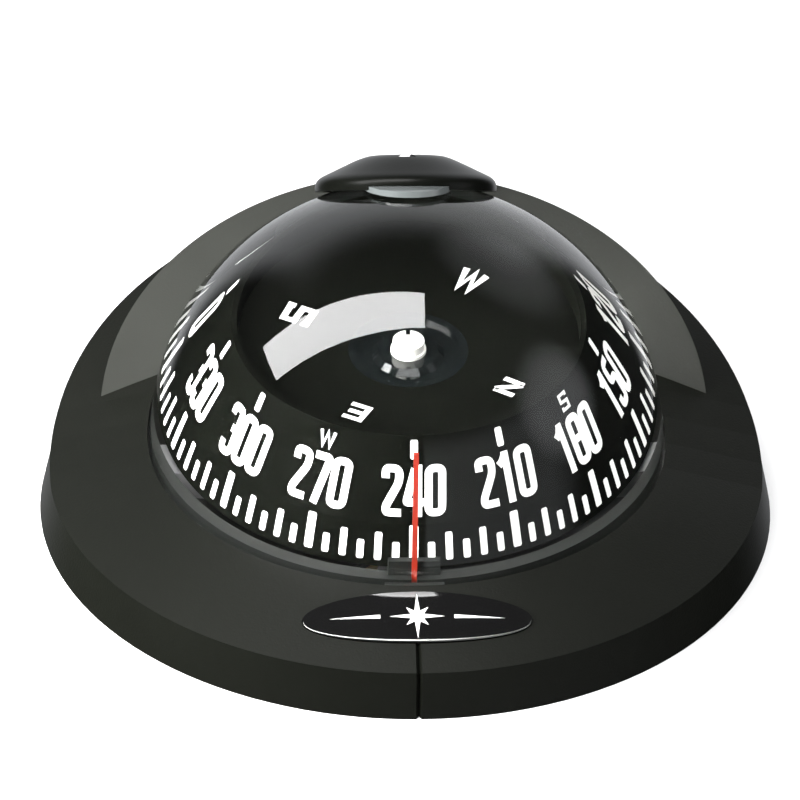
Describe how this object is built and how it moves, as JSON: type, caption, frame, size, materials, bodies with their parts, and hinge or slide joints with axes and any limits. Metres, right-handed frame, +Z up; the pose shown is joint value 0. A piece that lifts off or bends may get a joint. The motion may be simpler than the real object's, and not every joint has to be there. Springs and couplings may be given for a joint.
{
  "type": "binnacle compass",
  "caption": "Flush-mount marine dome compass: conical bezel, rear hood, fluid-filled dome, gimballed conical card and red lubber line.",
  "frame": {"origin": "centre of the panel cut-out, on the panel's face that the gasket seats on", "axes": "+Z up out of the panel, -Y towards the reader, +X to the reader's right"},
  "size_m": [0.1102, 0.1102, 0.0887],
  "materials": {
    "black_plastic": "fine-textured matt moulding",
    "gloss_black": "gloss",
    "clear_acrylic": "polished",
    "card_black": "satin with white print",
    "white_foam": "matt",
    "red_enamel": "satin",
    "black_rubber": "matt",
    "stainless_steel": "satin",
    "brass": "turned",
    "magnet_steel": "plated",
    "grey_nylon": "moulded",
    "white_nylon": "moulded",
    "jewel": "polished",
    "circuit_board": "solder-mask green",
    "lamp_diode": "moulded red"
  },
  "bodies": {
    "case": {"badge": "gloss_black", "bezel": "black_plastic", "bowl": "black_plastic", "cable_grommet": "black_rubber", "clamp_ring": "black_plastic", "clamp_screws": "stainless_steel", "compensator_housing": "black_plastic", "cover_screws": "stainless_steel", "diaphragm": "black_rubber", "dome": "clear_acrylic", "dome_seal": "black_rubber", "filling_plug": "brass", "hood": "black_plastic", "lamp_board": "circuit_board", "lamp_cover": "black_plastic", "lamp_diode": "lamp_diode", "lamp_lens": "clear_acrylic", "panel_gasket": "black_rubber", "plug_washer": "black_rubber", "roll_bearings": "grey_nylon"},
    "gimbal_frame": {"gimbal_ring": "grey_nylon", "roll_pins": "stainless_steel", "lubber_line": "red_enamel"},
    "cradle_frame": {"cradle": "grey_nylon", "pitch_pins": "stainless_steel", "pivot_post": "stainless_steel", "counterweight": "brass", "counterweight_screw": "brass"},
    "compass_card": {"card": "card_black", "card_hub": "clear_acrylic", "card_float": "white_foam", "card_magnets": "magnet_steel", "magnet_carrier": "grey_nylon", "pivot_cap": "white_nylon", "pivot_jewel": "jewel"},
    "north_south_compensator": {"north_south_spindle": "brass", "north_south_clip": "stainless_steel", "north_south_magnet": "magnet_steel"},
    "east_west_compensator": {"east_west_spindle": "brass", "east_west_clip": "stainless_steel", "east_west_magnet": "magnet_steel"}
  },
  "joints": [
    {"name": "gimbal_roll", "type": "hinge", "parent": "case", "child": "gimbal_frame", "pos_m": [0, 0, 0.0065], "axis": [0, 1, 0], "range_deg": [-30, 30]},
    {"name": "gimbal_pitch", "type": "hinge", "parent": "gimbal_frame", "child": "cradle_frame", "pos_m": [0, 0, 0.0065], "axis": [1, 0, 0], "range_deg": [-30, 30]},
    {"name": "card_heading", "type": "hinge", "parent": "cradle_frame", "child": "compass_card", "pos_m": [0, 0, 0.02], "axis": [0, 0, 1], "continuous": true},
    {"name": "north_south_adjust", "type": "hinge", "parent": "case", "child": "north_south_compensator", "pos_m": [0, 0, -0.03219], "axis": [0, -1, 0], "continuous": true},
    {"name": "east_west_adjust", "type": "hinge", "parent": "case", "child": "east_west_compensator", "pos_m": [0, 0, -0.03609], "axis": [1, 0, 0], "continuous": true}
  ]
}
